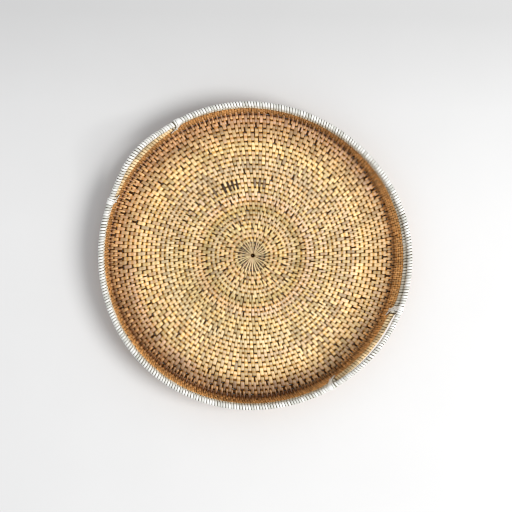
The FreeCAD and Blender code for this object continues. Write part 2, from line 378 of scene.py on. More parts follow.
def sun_spokes():
    """The strips that fan out from the hole over the first turns of the coil."""
    spoke = TURN / SUN_SPOKES
    bearing = spoke * (np.arange(SUN_SPOKES) + rng.uniform(-0.16, 0.16, SUN_SPOKES))
    last_row = bearing + (SUN_TURNS - 1) * TURN
    end = coil_profile(last_row)[0]
    top = COIL_RADIUS - FLAT_DEPTH
    round_end = np.radians(np.arange(90, -91, -30))
    count = SUN_SPOKES
    rows = np.linspace(0.12, 0.92, 7)
    over = SUN_HOLE + (end[:, None] - SUN_HOLE) * rows[None, :]
    one = np.ones((count, 1))
    wave = 0.22 * MM * np.cos(over / COIL_PITCH * TURN + bearing[:, None])
    reach = INNER_ROW_REACH
    hole = np.radians(np.array([270, 225, 180, 135, 90]))
    radius = [one * HOLE_SHARES * SUN_HOLE, over]
    radius += [end[:, None] + reach * np.cos(round_end), over[:, ::-1]]
    height = [one * reach * np.sin(hole), reach + wave]
    height += [reach * one * np.sin(round_end), -(reach + 0 * wave)]
    out_r = [one * np.cos(hole), 0 * over, one * np.cos(round_end), 0 * over]
    out_z = [one * np.sin(hole), 1 + 0 * over, one * np.sin(round_end), -1 + 0 * over]
    radius, height, out_r, out_z = (np.concatenate(p, axis=1) for p in (radius, height, out_r, out_z))
    lean = (radius - end[:, None]) / end[:, None] * 0.10 * rng.uniform(0.3, 1.6, count)[:, None]
    angle = bearing[:, None] + lean
    radial = np.stack([np.cos(angle), np.sin(angle), 0 * angle], axis=-1)
    sideways = np.stack([-np.sin(angle), np.cos(angle), 0 * angle], axis=-1)
    lift = rng.uniform(0, 0.25, count)[:, None] * MM
    centres = radial * radius[:, :, None] + UP * (top + height + lift * np.sign(height))[:, :, None]
    outward = radial * out_r[:, :, None] + UP * out_z[:, :, None]
    broad = rng.uniform(0.85, 1.15, count)[:, None] * MM
    # inside the hole the spokes take the grooves' near-black: painted shade
    in_hole = radius < 0.9 * SUN_HOLE
    half_width = np.minimum(broad, math.pi * radius / SUN_SPOKES * 1.15)
    looks = {
        "lot": rng.uniform(0.1, 0.5, count)[:, None],
        "tone": rng.uniform(0.45, 1, count)[:, None],
        "stain_and_shade": (rng.random(count) < 0.1)[:, None] * 0.5,
        "depth": np.where(in_hole, 1.0, np.clip(1 - np.abs(height) / reach, 0, 1)),
        "along": radius / MM + rng.uniform(0, GRAIN_LENGTH, count)[:, None],
    }
    return strips(centres, outward, sideways, half_width, STRIP_THICKNESS, True, looks)


def short_stitches(bearing, width):
    """Strips round one row only, which show in the gaps between the spokes, kept dark there as painted
    shade.
    """
    count = len(bearing)
    own, _, across, along, up = row_frames(bearing)
    angle = np.radians(np.arange(0, 360, 30))[None, :]
    reach = OWN_ROW_REACH - 0.1 * MM
    out_x = np.cos(angle) * np.ones((count, 1))
    out_y = np.sin(angle) * np.ones((count, 1))
    outward = across[:, None, :] * out_x[:, :, None] + up[:, None, :] * out_y[:, :, None]
    lean = STITCH_LEAN * rng.uniform(0.5, 1.5, count)[:, None]
    leaning = along[:, None, :] * (lean * out_x * reach)[:, :, None]
    centres = own[:, None, :] + outward * reach + leaning
    sideways = np.broadcast_to(along[:, None, :], outward.shape)
    half_width = np.repeat(width[:, None] / 2, angle.shape[1], axis=1)
    looks = {
        "lot": rng.random(count)[:, None],
        # a low tone and part of the stain colour darken them: painted shade of the gaps between spokes
        "tone": rng.uniform(0.0, 0.4, count)[:, None],
        "stain_and_shade": rng.uniform(0.1, 0.35, count)[:, None],
        "depth": 1 - np.abs(out_y),
        "along": angle * reach / MM + rng.uniform(0, GRAIN_LENGTH, count)[:, None],
    }
    return strips(centres, outward, sideways, half_width, STRIP_THICKNESS, True, looks)


def merged(*groups):
    """Several strips() results as one."""
    points = np.concatenate([group[0] for group in groups])
    faces = []
    offset = 0
    for group in groups:
        faces += [face + offset for face in group[1]]
        offset += len(group[0])
    looks = {look: np.concatenate([group[2][look] for group in groups]) for look in groups[0][2]}
    return points, faces, looks


def on_the_basket(points):
    """Worn level underneath, shaved level under the rim, and pulled out of round."""
    points = points.copy()
    points[:, 2] = np.clip(points[:, 2], 0, WALL_TOP + 0.2 * MM)
    return handmade(points)


NARROWEST_STITCH = 3.0 * MM
WIDEST_STITCH = 5.6 * MM
LOT_STITCHES = (18, 60)        # how many stitches one strip's colour lasts for


def add_coil_bindings(floor_lengths, wall_lengths, floor_look, wall_look):
    """All long stitches, one piece for each length of rod, with the spokes on the first."""
    bearing = long_stitch_bearings()
    radius = coil_profile(bearing)[0]
    spacing = np.gradient(bearing) * radius
    width = np.clip(spacing / 2, NARROWEST_STITCH, WIDEST_STITCH)
    width = width * rng.uniform(1.06, 1.14, len(bearing))
    lot = lots(len(bearing), *LOT_STITCHES)
    stain_and_shade = stains(bearing, radius)
    for kind, lengths in (("floor", floor_lengths), ("wall", wall_lengths)):
        look = floor_look if kind == "floor" else wall_look
        for number, (first, last) in enumerate(lengths, 1):
            mine = (bearing >= first) & (bearing < last)
            groups = [long_stitches(bearing[mine], width[mine], lot[mine], stain_and_shade[mine])]
            if first == 0:
                groups.append(sun_spokes())
                between = (np.arange(SUN_SPOKES) + 0.5) / SUN_SPOKES
                filler = np.concatenate([TURN * (turn + between) for turn in (1.0, 2.0)])
                groups.append(short_stitches(filler, rng.uniform(1.6, 2.4, len(filler)) * MM))
            points, faces, looks = merged(*groups)
            add_mesh(
                f"{kind}_stitches_{number}", f"{kind}_binding_{number}", f"{kind}_binding",
                on_the_basket(points), faces, look, **looks)


DARK_STITCHES = (119, 124, 128, 141, 145.5, 150, 154, 160)   # bearings, degrees
DARK_RING = (110 * MM, 117.5 * MM)
DARKEST = (140, 155)                                         # between these, the darkest of them
STRAY_SHARE = 0.02


def stains(bearing, radius):
    """How darkly each stitch is stained: a run of dark ones on one ring, and a few strays."""
    stain_and_shade = np.where(rng.random(len(bearing)) < STRAY_SHARE, rng.uniform(0.1, 0.45, len(bearing)), 0)
    on_ring = (radius > DARK_RING[0]) & (radius < DARK_RING[1])
    for degrees in DARK_STITCHES:
        away = np.abs((bearing - math.radians(degrees) + TURN / 2) % TURN - TURN / 2)
        away = np.where(on_ring, away, np.inf)
        stain_and_shade[np.argmin(away)] = 1.0 if DARKEST[0] < degrees < DARKEST[1] else 0.75
    return stain_and_shade


COIL_ROD_SIDES = 8
RIM_ROD_SIDES = 12
COIL_ROD_STEP = 5 * MM


def tube(path, heading, radius, ring):
    """A closed round tube along a path of points, with ring sides."""
    side = unit(np.cross(heading, UP))
    top = np.cross(side, heading)
    angle = np.arange(ring) * TURN / ring
    out = side[:, None, :] * np.cos(angle)[None, :, None]
    out = out + top[:, None, :] * np.sin(angle)[None, :, None]
    points = (path[:, None, :] + out * radius).reshape(-1, 3)
    step = np.arange(len(path) - 1)[:, None] * ring
    around = np.arange(ring)[None, :]
    beside = (around + 1) % ring
    quads = np.stack([step + around, step + beside, step + ring + beside, step + ring + around], axis=-1)
    last = (len(path) - 1) * ring
    caps = [np.arange(ring)[None, ::-1], last + np.arange(ring)[None, :]]
    return points, [quads.reshape(-1, 4)] + caps


def add_coil_rods(floor_lengths, wall_lengths, look):
    for kind, lengths in (("floor", floor_lengths), ("wall", wall_lengths)):
        for number, (first, last) in enumerate(lengths, 1):
            radius = float(coil_profile((first + last) / 2)[0])
            steps = int((last - first) * radius / COIL_ROD_STEP)
            bearing = np.linspace(first, last, max(steps, 200))
            heading = unit(coil_place(bearing + BEARING_STEP) - coil_place(bearing - BEARING_STEP))
            points, faces = tube(coil_place(bearing), heading, CORE_RADIUS, COIL_ROD_SIDES)
            add_mesh(
                f"{kind}_core_{number}", f"{kind}_rod_{number}", "coil_rod",
                on_the_basket(points), faces, look)


# ---- rim and handles: rods wound round with strip ----
def level_row(centreline, height, first, last):
    """A stretch of rim: a function from distance along it to place and heading, and its length."""
    def place(run):
        bearing = first + run / centreline
        out = np.stack([np.cos(bearing), np.sin(bearing), 0 * bearing], axis=-1)
        return out * centreline + UP * height
    return place, (last - first) * centreline


def handle_row(side):
    """The upper rim rod where it rises over a handle, between its two lashings."""
    table = np.linspace(-HANDLE_JOINT, HANDLE_JOINT, 400)
    middle = 0 if side == "right" else math.pi

    def at(angle):
        rise = HANDLE_RISE * 0.5 * (1 + np.cos(math.pi * angle / HANDLE_JOINT))
        bearing = middle + angle
        out = np.stack([np.cos(bearing), np.sin(bearing), 0 * bearing], axis=-1)
        return out * UPPER_RIM_CENTRE + UP * (UPPER_RIM_HEIGHT + rise)[:, None]

    gone = np.linalg.norm(np.diff(at(table), axis=0), axis=1)
    run_table = np.concatenate([[0], np.cumsum(gone)])

    def place(run):
        return at(np.interp(run, run_table, table))
    return place, float(run_table[-1])


STEPS_PER_WRAP = 14
END_INSET = 0.15        # of its width, how far a wound strip's first and last wraps stand in


def wound_strip(row, reach, pitch, width, thickness):
    """One long strip wound round a row, edge to edge but never quite evenly."""
    place, length = row
    wraps = int(length / pitch)
    steps = wraps * STEPS_PER_WRAP
    angle = np.linspace(0, wraps * TURN, steps + 1)
    wrap = np.minimum((angle / TURN).astype(int), wraps - 1)
    unevenness = np.cumsum(rng.normal(0, 0.05, wraps + 1)) * pitch
    unevenness -= np.linspace(unevenness[0], unevenness[-1], wraps + 1)
    inset = width * END_INSET
    run = np.linspace(inset, length - inset, steps + 1)
    run = run + np.interp(angle / TURN, np.arange(wraps + 1), unevenness)
    run = np.clip(run, inset, length - inset)
    middle = place(run)
    heading = unit(place(run + RUN_STEP) - place(run - RUN_STEP))
    out = middle * np.array([1, 1, 0])
    out = unit(out - heading * np.sum(out * heading, axis=1, keepdims=True))
    top = np.cross(out, heading)
    # the strip goes from outside over the top to the inside as it moves back along the row
    around = -angle
    outward = out * np.cos(around)[:, None] + top * np.sin(around)[:, None]
    lift = np.repeat(rng.uniform(-0.06, 0.10, wraps), STEPS_PER_WRAP) * MM
    lift = np.concatenate([lift, lift[-1:]])
    lift = np.convolve(lift, np.ones(5) / 5, mode="same")
    centres = middle + outward * (reach + lift)[:, None]
    along = unit(np.gradient(centres, axis=0))
    sideways = unit(np.cross(outward, along))
    widths = rng.uniform(0.92, 1.05, wraps + 1)
    broad = np.interp(angle / TURN, np.arange(wraps + 1), widths) * width / 2
    tone = rng.random(wraps)[wrap]
    looks = {
        "lot": np.interp(angle, np.linspace(0, angle[-1], 9), rng.random(9))[None, :],
        "tone": tone[None, :],
        "stain_and_shade": np.zeros((1, 1)),
        "depth": np.zeros((1, 1)),
        "along": (angle * reach / MM)[None, :],
    }
    return strips(centres[None], outward[None], sideways[None], broad[None], thickness, False, looks)


WRAP_PITCH = 4.13 * MM
WRAP_WIDTH = 3.7 * MM
WRAP_THICKNESS = 0.5 * MM
SILL_PITCH = 4.4 * MM
SILL_WIDTH = 0.9 * SILL_PITCH
RIM_ROD_STEP = 3.4 * MM


def add_wound(name, node, row, row_height, outer_radius, pitch, width, look, slot):
    """One piece: a strip wound round a stretch of rim, out to outer_radius."""
    reach = outer_radius - 0.55 * WRAP_THICKNESS
    points, faces, looks = wound_strip(row, reach, pitch, width, WRAP_THICKNESS)
    add_mesh(name, node, slot, handmade(points, row_height), faces, look, **looks)


def low_row(first, last):
    return level_row(LOWER_RIM_CENTRE, LOWER_RIM_HEIGHT, first, last)


def high_row(first, last):
    return level_row(UPPER_RIM_CENTRE, UPPER_RIM_HEIGHT, first, last)


def add_rim(white, shaded_yellow_white, plain, core):
    """The strips wound round both rim rows, the handles and the rows under them, then their rods."""
    half = TURN / 2
    for side, turn in (("back", 0.0), ("front", half)):
        low = low_row(turn + HANDLE_HALF_SPAN, turn + half - HANDLE_HALF_SPAN)
        # the lower row's white is darker and yellower: partly painted shade under the upper row, partly a
        # yellowed strip
        add_wound(f"lower_rim_strip_{side}", f"rim_lower_wrap_{side}", low, LOWER_RIM_HEIGHT,
                  RIM_RADIUS, WRAP_PITCH, WRAP_WIDTH, shaded_yellow_white, "white_wrap")
        upper = high_row(turn + HANDLE_JOINT, turn + half - HANDLE_JOINT)
        add_wound(f"upper_rim_strip_{side}", f"rim_upper_wrap_{side}", upper, UPPER_RIM_HEIGHT,
                  RIM_RADIUS, WRAP_PITCH, WRAP_WIDTH, white, "white_wrap")
    for side, turn in (("right", 0.0), ("left", half)):
        add_wound(f"handle_strip_{side}", f"handle_wrap_{side}", handle_row(side), UPPER_RIM_HEIGHT,
                  RIM_RADIUS, WRAP_PITCH, WRAP_WIDTH, white, "white_wrap")
        sill = low_row(turn - HANDLE_HALF_SPAN, turn + HANDLE_HALF_SPAN)
        add_wound(f"sill_strip_{side}", f"sill_binding_{side}", sill, LOWER_RIM_HEIGHT,
                  SILL_RADIUS, SILL_PITCH, SILL_WIDTH, plain, "floor_binding")
    add_rim_rods(core)


def add_rim_rods(look):
    """The closed hoop of the lower row, and that of the upper row, which rises over the handles."""
    quarter = TURN / 4
    low, low_length = low_row(-quarter, 3 * quarter)
    run = np.linspace(0, low_length - 0.1 * MM, 420)
    heading = unit(low(run + RUN_STEP) - low(run - RUN_STEP))
    points, faces = tube(low(run), heading, RIM_ROD_RADIUS, RIM_ROD_SIDES)
    add_mesh("lower_rim_core", "rim_lower_rod", "rim_rod", handmade(points, LOWER_RIM_HEIGHT), faces, look)

    half = TURN / 2
    route = []
    left_back = high_row(quarter, half - HANDLE_JOINT)
    front = high_row(half + HANDLE_JOINT, TURN - HANDLE_JOINT)
    right_back = high_row(HANDLE_JOINT, quarter)
    for place, length in (left_back, handle_row("left"), front, handle_row("right"), right_back):
        steps = max(int(length / RIM_ROD_STEP), 30)
        route.append(place(np.linspace(0, length * 0.998, steps)))
    route = np.concatenate(route)
    heading = unit(np.gradient(route, axis=0))
    points, faces = tube(route, heading, RIM_ROD_RADIUS, RIM_ROD_SIDES)
    add_mesh("upper_rim_core", "rim_upper_rod", "rim_rod", handmade(points, UPPER_RIM_HEIGHT), faces, look)


# ---- lashings: strips crossed over the rim and through the wall ----
LASHING_FOOT = 0.46            # of its full reach, how far a lashing comes down the wall
LASHING_GAP = 0.5 * MM
LASHING_STRANDS = ((-9.5, 4.5), (-6.5, 6.5), (-3.0, 8.0), (0.5, 1.5))   # mm aside, at foot and crown
STRAND_HALF_WIDTH = 1.25 * MM
UPPER_STRAND_LIFT = 0.35 * MM


def lashing_outline():
    """Out and height coordinates of a loop from the inner wall over both rim rows and back."""
    top_row = float(coil_profile(LEVEL_FROM)[0])
    wall_mark = WALL_TOP - COIL_RADIUS
    foot = WALL_TOP - LASHING_FOOT * LASHING_REACH
    wall_inside = top_row - COIL_RADIUS / math.sin(WALL_SLOPE) - LASHING_GAP
    foot_inside = wall_inside - (wall_mark - foot) / math.tan(WALL_SLOPE)
    reach = RIM_RADIUS + LASHING_GAP
    wall_outside = top_row + COIL_RADIUS + LASHING_GAP
    crown = np.radians(np.array([155, 125, 90, 55, 25]))
    out = [foot_inside + 2.2 * MM, foot_inside, (foot_inside + wall_inside) / 2, wall_inside]
    high = [foot - 1.2 * MM, foot + 0.4 * MM, (foot + wall_mark) / 2, wall_mark]
    out += [LOWER_RIM_CENTRE - reach, UPPER_RIM_CENTRE - reach]
    high += [LOWER_RIM_HEIGHT, UPPER_RIM_HEIGHT - 1 * MM]
    out += list(UPPER_RIM_CENTRE + reach * np.cos(crown))
    high += list(UPPER_RIM_HEIGHT + reach * np.sin(crown))
    out += [UPPER_RIM_CENTRE + reach, LOWER_RIM_CENTRE + reach + 0.3 * MM, wall_outside]
    high += [UPPER_RIM_HEIGHT - 1 * MM, LOWER_RIM_HEIGHT, wall_mark]
    out += [wall_outside - 1 * MM, top_row]
    high += [foot + 2 * MM, foot - 1.4 * MM]
    return np.array(out), np.array(high)


def add_lashings(look):
    """Four lashings, each of strands that cross as they climb from the wall over the rim."""
    out, high = lashing_outline()
    steps = len(out)
    places = (
        ("right_back", HANDLE_JOINT, 1), ("left_back", math.pi - HANDLE_JOINT, -1),
        ("left_front", math.pi + HANDLE_JOINT, 1), ("right_front", -HANDLE_JOINT, -1),
    )
    loop = np.stack([out, high], axis=1)
    flow = unit(np.roll(loop, -1, axis=0) - np.roll(loop, 1, axis=0))
    normal = np.stack([-flow[:, 1], flow[:, 0]], axis=1)
    for name, bearing, hand in places:
        centres, outwards, sides, widths = [], [], [], []
        climb = smooth((high - high.min()) / (high.max() - high.min()))
        for foot_mm, crown_mm in LASHING_STRANDS:
            shift = hand * (foot_mm + (crown_mm - foot_mm) * climb) * MM
            turned = bearing + shift / UPPER_RIM_CENTRE
            radial = np.stack([np.cos(turned), np.sin(turned), 0 * turned], axis=1)
            extra = UPPER_STRAND_LIFT if crown_mm < 5 else 0.0
            outward = radial * normal[:, :1] + UP * normal[:, 1:]
            centre = radial * out[:, None] + UP * high[:, None] + outward * extra
            path = unit(np.roll(centre, -1, axis=0) - np.roll(centre, 1, axis=0))
            side = unit(np.cross(outward, path))
            centres.append(centre)
            outwards.append(outward)
            sides.append(side)
            widths.append(np.full(steps, STRAND_HALF_WIDTH))
        strands = len(LASHING_STRANDS)
        looks = {
            "lot": rng.random((strands, 1)),
            "tone": rng.uniform(0.6, 1, (strands, 1)),
            "stain_and_shade": np.zeros((strands, 1)),
            "depth": np.zeros((strands, 1)),
            "along": np.tile(np.arange(steps) * 3.0, (strands, 1)),
        }
        points, faces, values = strips(
            np.array(centres), np.array(outwards), np.array(sides), np.array(widths),
            STRIP_THICKNESS, True, looks)
        add_mesh(
            f"crossed_lashing_{name}", f"lashing_{name}", "white_lashing",
            handmade(points), faces, look, **values)


# ---- materials ----
class Nodes:
    """A material's node tree, written a node at a time."""

    def __init__(self, name):
        self.material = bpy.data.materials.new(name)
        self.material.use_nodes = True
        self.tree = self.material.node_tree
        self.shader = self.tree.nodes["Principled BSDF"]

    def add(self, kind, inputs=(), **settings):
        node = self.tree.nodes.new(kind)
        for key, value in settings.items():
            setattr(node, key, value)
        for socket, value in dict(inputs).items():
            self.plug(value, node.inputs[socket])
        return node

    def plug(self, value, socket):
        if isinstance(value, bpy.types.NodeSocket):
            self.tree.links.new(value, socket)
        else:
            socket.default_value = value

    def attribute(self, name):
        return self.add("ShaderNodeAttribute", attribute_name=name).outputs["Fac"]

    def maths(self, operation, a, b=0.0, c=0.0):
        return self.add("ShaderNodeMath", {0: a, 1: b, 2: c}, operation=operation).outputs[0]

    def ramp(self, fac, stops):
        node = self.add("ShaderNodeValToRGB", {"Fac": fac})
        band = node.color_ramp
        band.interpolation = "LINEAR"
        while len(band.elements) < len(stops):
            band.elements.new(0.5)
        for element, (at, colour) in zip(band.elements, stops):
            element.position = at
            element.color = (*colour, 1)
        return node.outputs["Color"]

    def mix(self, kind, fac, a, b):
        node = self.add("ShaderNodeMix", data_type="RGBA", blend_type=kind)
        self.plug(fac, node.inputs[0])
        self.plug(a if isinstance(a, bpy.types.NodeSocket) else (*a, 1), node.inputs[6])
        self.plug(b if isinstance(b, bpy.types.NodeSocket) else (*b, 1), node.inputs[7])
        return node.outputs[2]

    def times(self, a, b):
        return self.mix("MULTIPLY", 1.0, a, b)

    def noise(self, vector, scale, detail, rough=0.5):
        settings = {"Vector": vector, "Scale": scale, "Detail": detail, "Roughness": rough}
        return self.add("ShaderNodeTexNoise", settings).outputs["Fac"]

    def vector(self, x, y, z):
        return self.add("ShaderNodeCombineXYZ", {0: x, 1: y, 2: z}).outputs[0]

    def place(self):
        return self.add("ShaderNodeTexCoord").outputs["Object"]

    def x_and_y(self, place):
        split = self.add("ShaderNodeSeparateXYZ", {0: place})
        return split.outputs[0], split.outputs[1]


def grey(value):
    return (value, value, value)


def grain(nodes):
    """Fibres that run the length of a strip, as a value about 0.5."""
    fibres = nodes.vector(
        nodes.maths("MULTIPLY", nodes.attribute("along"), 0.12),
        nodes.maths("MULTIPLY", nodes.attribute("across"), 1.6),
        nodes.maths("MULTIPLY", nodes.attribute("tone"), 57.0))
    return nodes.noise(fibres, 1.5, 3.0, 0.6)


def finish_strip(nodes, colour, fibres, rough, bump):
    """The colour given, with roughness and relief that follow the fibres."""
    shader = nodes.shader
    nodes.plug(colour, shader.inputs["Base Color"])
    roughness = nodes.maths("MULTIPLY_ADD", fibres, 0.30, rough - 0.15)
    nodes.plug(roughness, shader.inputs["Roughness"])
    relief = nodes.add("ShaderNodeBump", {"Strength": bump, "Distance": 0.0004, "Height": fibres})
    nodes.plug(relief.outputs["Normal"], shader.inputs["Normal"])


def rise(nodes, value, low, high):
    """0 where a value is up to low, 1 from high on."""
    return nodes.ramp(value, ((low, grey(0.0)), (high, grey(1.0))))


def towards(nodes, x, y, far, side, from_share, to_share):
    """How much a point lies on one side of the basket, 0 to 1."""
    along_x = nodes.maths("MULTIPLY", x, math.cos(side))
    along = nodes.maths("ADD", along_x, nodes.maths("MULTIPLY", y, math.sin(side)))
    return rise(nodes, nodes.maths("DIVIDE", along, far), from_share, to_share)


RATTAN_TONES = ((0.0, grey(0.66)), (0.5, grey(0.99)), (1.0, grey(1.16)))
RATTAN_STREAKS = ((0.30, grey(0.80)), (0.62, grey(1.06)))
RATTAN_PATCHES = ((0.35, (0.88, 0.86, 0.83)), (0.65, (1.05, 1.04, 1.02)))
# how much a strip darkens where it dips between rows: painted shade
RATTAN_VALLEY = ((0.02, grey(1.0)), (0.30, (0.82, 0.60, 0.28)))
RATTAN_RELIEF = 0.5
RATTAN_SHINE = 0.42
STAIN_SHARE = 0.97
STAIN_COLOUR = (0.035, 0.018, 0.010)
# how far the grooves between rows take their near-black: painted shade, partly dirt
GROOVE_SHARE = 0.97
GREY_EDGE = (0.20, 0.19, 0.15)        # grey that a white strip's edges are darkened towards
BARE_SPOT = (0.42, 0.36, 0.24)        # where white has worn from a strip's face


def rattan_look(name, lots_of, rings, painted_shade_rings, painted_light_rings, edges, groove, rough):
    """Split rattan: strips that differ by lot, fibrous, with painted shade towards grooves and edges
    (partly dirt), painted shade near the wall on one side and painted light on the other.
    """
    nodes = Nodes(name)
    fibres = grain(nodes)
    place = nodes.place()
    x, y = nodes.x_and_y(place)
    squares = nodes.maths("ADD", nodes.maths("MULTIPLY", x, x), nodes.maths("MULTIPLY", y, y))
    far = nodes.maths("SQRT", squares)
    share = nodes.maths("DIVIDE", far, OUTER_RADIUS)
    # painted shade near the wall on one side, painted light near it on the side facing the lamp
    wear_and_painted_shade = towards(nodes, x, y, far, PAINTED_SHADE_SIDE, 0.02, 0.70)
    painted_light = towards(nodes, x, y, far, PAINTED_LIGHT_SIDE, 0.45, 0.95)
    ring = nodes.mix("MIX", wear_and_painted_shade, nodes.ramp(share, rings), nodes.ramp(share, painted_shade_rings))
    ring = nodes.mix("MIX", painted_light, ring, nodes.ramp(share, painted_light_rings))
    colour = nodes.times(nodes.ramp(nodes.attribute("lot"), lots_of), ring)
    colour = nodes.times(colour, nodes.ramp(nodes.attribute("tone"), RATTAN_TONES))
    colour = nodes.times(colour, nodes.ramp(fibres, RATTAN_STREAKS))
    colour = nodes.times(colour, nodes.ramp(nodes.noise(place, 26.0, 3.0), RATTAN_PATCHES))
    stained = nodes.maths("MULTIPLY", nodes.attribute("stain_and_shade"), STAIN_SHARE)
    colour = nodes.mix("MIX", stained, colour, STAIN_COLOUR)
    # strip edges darkened: painted shade where strips meet, partly dirt
    edge = rise(nodes, nodes.attribute("edge"), 0.58, 1.0)
    edge_share, edge_colour = edges
    colour = nodes.mix("MIX", nodes.maths("MULTIPLY", edge, edge_share), colour, edge_colour)
    # painted shade: darker where a strip dips between rows, near-black deep in the grooves, partly dirt
    colour = nodes.times(colour, nodes.ramp(nodes.attribute("depth"), RATTAN_VALLEY))
    deep = rise(nodes, nodes.attribute("depth"), 0.30, 0.66)
    colour = nodes.mix("MIX", nodes.maths("MULTIPLY", deep, GROOVE_SHARE), colour, groove)
    finish_strip(nodes, colour, fibres, rough, RATTAN_RELIEF)
    # only the open face of a strip shines, not its edges or the grooves
    flat = nodes.maths("SUBTRACT", 1.0, edge)
    shine = nodes.maths("MULTIPLY", nodes.maths("SUBTRACT", 1.0, deep), flat)
    nodes.plug(nodes.maths("MULTIPLY", shine, RATTAN_SHINE), nodes.shader.inputs["Specular IOR Level"])
    return nodes.material


def white_look(name, dull, middling, bright):
    """Strip painted white: thin over the fibres, darkened to grey at its edges and worn in spots."""
    nodes = Nodes(name)
    fibres = grain(nodes)
    tone = nodes.ramp(nodes.attribute("tone"), ((0.0, dull), (0.5, middling), (1.0, bright)))
    streaks = nodes.ramp(fibres, ((0.30, grey(0.78)), (0.6, grey(1.02))))
    colour = nodes.times(tone, streaks)
    edge = rise(nodes, nodes.attribute("edge"), 0.75, 1.0)
    colour = nodes.mix("MIX", nodes.maths("MULTIPLY", edge, 0.7), colour, GREY_EDGE)
    wear_and_painted_shade = rise(nodes, nodes.noise(nodes.place(), 420.0, 4.0, 0.7), 0.62, 0.70)
    colour = nodes.mix("MIX", nodes.maths("MULTIPLY", wear_and_painted_shade, 0.45), colour, BARE_SPOT)
    finish_strip(nodes, colour, fibres, 0.5, 0.35)
    return nodes.material


def rod_look(name, dark, light):
    """Round rod: blotchy and dull."""
    nodes = Nodes(name)
    blotches = nodes.noise(nodes.place(), 240.0, 4.0, 0.6)
    colour = nodes.ramp(blotches, ((0.3, dark), (0.7, light)))
    finish_strip(nodes, colour, blotches, 0.75, 0.6)
    nodes.shader.inputs["Specular IOR Level"].default_value = 0.08
    return nodes.material


def floor_material():
    """Pale ground with painted shade: a little darker away past the far side, as the light falls off."""
    nodes = Nodes("pale_floor")
    place = nodes.place()
    speck = nodes.noise(place, 9.0, 3.0)
    colour = nodes.ramp(speck, ((0.3, grey(0.69)), (0.7, grey(0.70))))
    x, y = nodes.x_and_y(place)
    far = nodes.maths("ADD", nodes.maths("MULTIPLY", x, ahead.x), nodes.maths("MULTIPLY", y, ahead.y))
    # painted shade: the ground darkens past the far side, as if further from the light
    painted_falloff = nodes.ramp(far, ((0.05, grey(1.0)), (0.22, grey(0.93)), (0.36, grey(0.80))))
    nodes.plug(nodes.times(colour, painted_falloff), nodes.shader.inputs["Base Color"])
    nodes.shader.inputs["Roughness"].default_value = 0.9
    nodes.shader.inputs["Specular IOR Level"].default_value = 0.1
    return nodes.material


FLOOR_LOTS = (
    (0.00, (0.82, 0.64, 0.33)), (0.25, (0.86, 0.71, 0.41)), (0.45, (0.80, 0.58, 0.36)),
    (0.60, (0.86, 0.69, 0.37)), (0.78, (0.84, 0.64, 0.47)), (0.90, (0.70, 0.55, 0.36)),
    (1.00, (0.86, 0.72, 0.45)),
)
MIDDLE_RINGS = (      # share of the outer radius, and the tint there
    (0.05, (0.66, 0.64, 0.60)), (0.13, (0.88, 0.86, 0.80)), (0.27, (0.92, 0.92, 0.86)),
    (0.305, (0.70, 0.68, 0.56)), (0.36, (1.0, 0.98, 0.94)), (0.52, (0.95, 0.95, 0.94)),
)
# Outwards the tint darkens, partly browner strips and partly painted shade, down to the painted shade of
# the crease at the wall's foot.
FLOOR_RINGS = MIDDLE_RINGS + (
    (0.74, (1.13, 1.10, 1.08)), (0.80, (0.88, 0.81, 0.76)), (0.86, (0.73, 0.63, 0.57)),
    (0.905, (0.90, 0.77, 0.70)), (0.918, (0.68, 0.53, 0.43)), (0.931, (0.30, 0.20, 0.13)),
)
PAINTED_SHADE_RINGS = MIDDLE_RINGS + (      # painted shade: on this side the floor darkens towards the wall, as in the wall's shadow
    (0.74, (1.10, 1.08, 1.06)), (0.80, (0.87, 0.81, 0.76)), (0.86, (0.50, 0.41, 0.36)),
    (0.895, (0.40, 0.30, 0.25)), (0.915, (0.28, 0.19, 0.13)), (0.931, (0.12, 0.055, 0.025)),
)
PAINTED_LIGHT_RINGS = MIDDLE_RINGS + (     # painted light: on the side facing the lamp, the floor near the wall is brightened to take out the wall's shadow
    (0.74, (1.13, 1.10, 1.08)), (0.80, (0.96, 0.92, 0.88)), (0.86, (1.10, 1.06, 1.04)),
    (0.905, (1.36, 1.26, 1.16)), (0.927, (1.10, 0.95, 0.80)), (0.940, (0.40, 0.26, 0.16)),
)
# bearings of the side with painted shade near the wall, and of the side with painted light
PAINTED_SHADE_SIDE = math.radians(-60)
PAINTED_LIGHT_SIDE = math.radians(28)
WALL_LOTS = ((0.0, (0.76, 0.44, 0.18)), (0.5, (0.88, 0.55, 0.25)), (1.0, (0.58, 0.34, 0.14)))
# Dark at the crease at the foot of the wall: painted shade.
WALL_RINGS = (
    (0.91, (1.00, 1.05, 1.15)), (0.930, (0.40, 0.31, 0.25)), (0.946, (0.80, 0.73, 0.67)),
    (0.962, (0.92, 0.86, 0.80)),
)
# painted shade on the same side: the wall darker, darkest at its foot
PAINTED_SHADE_WALL_RINGS = (
    (0.90, (0.70, 0.68, 0.70)), (0.930, (0.14, 0.08, 0.05)), (0.946, (0.66, 0.56, 0.48)),
    (0.962, grey(1.15)),
)
# painted light on the same side: the wall brightened above its foot
PAINTED_LIGHT_WALL_RINGS = (
    (0.925, (1.15, 1.15, 1.20)), (0.939, (0.44, 0.33, 0.26)), (0.950, (1.20, 1.12, 1.04)),
    (0.962, grey(1.15)),
)
PLAIN_RINGS = ((0.0, grey(1.0)), (1.0, grey(1.0)))
SILL_LOTS = ((0.0, (0.80, 0.58, 0.31)), (1.0, (0.88, 0.70, 0.42)))
FLOOR_EDGES = (0.50, (0.34, 0.15, 0.01))      # how strongly a strip's edges are darkened, and the dark: painted shade where strips meet, partly dirt
WALL_EDGES = (0.85, (0.13, 0.045, 0.006))
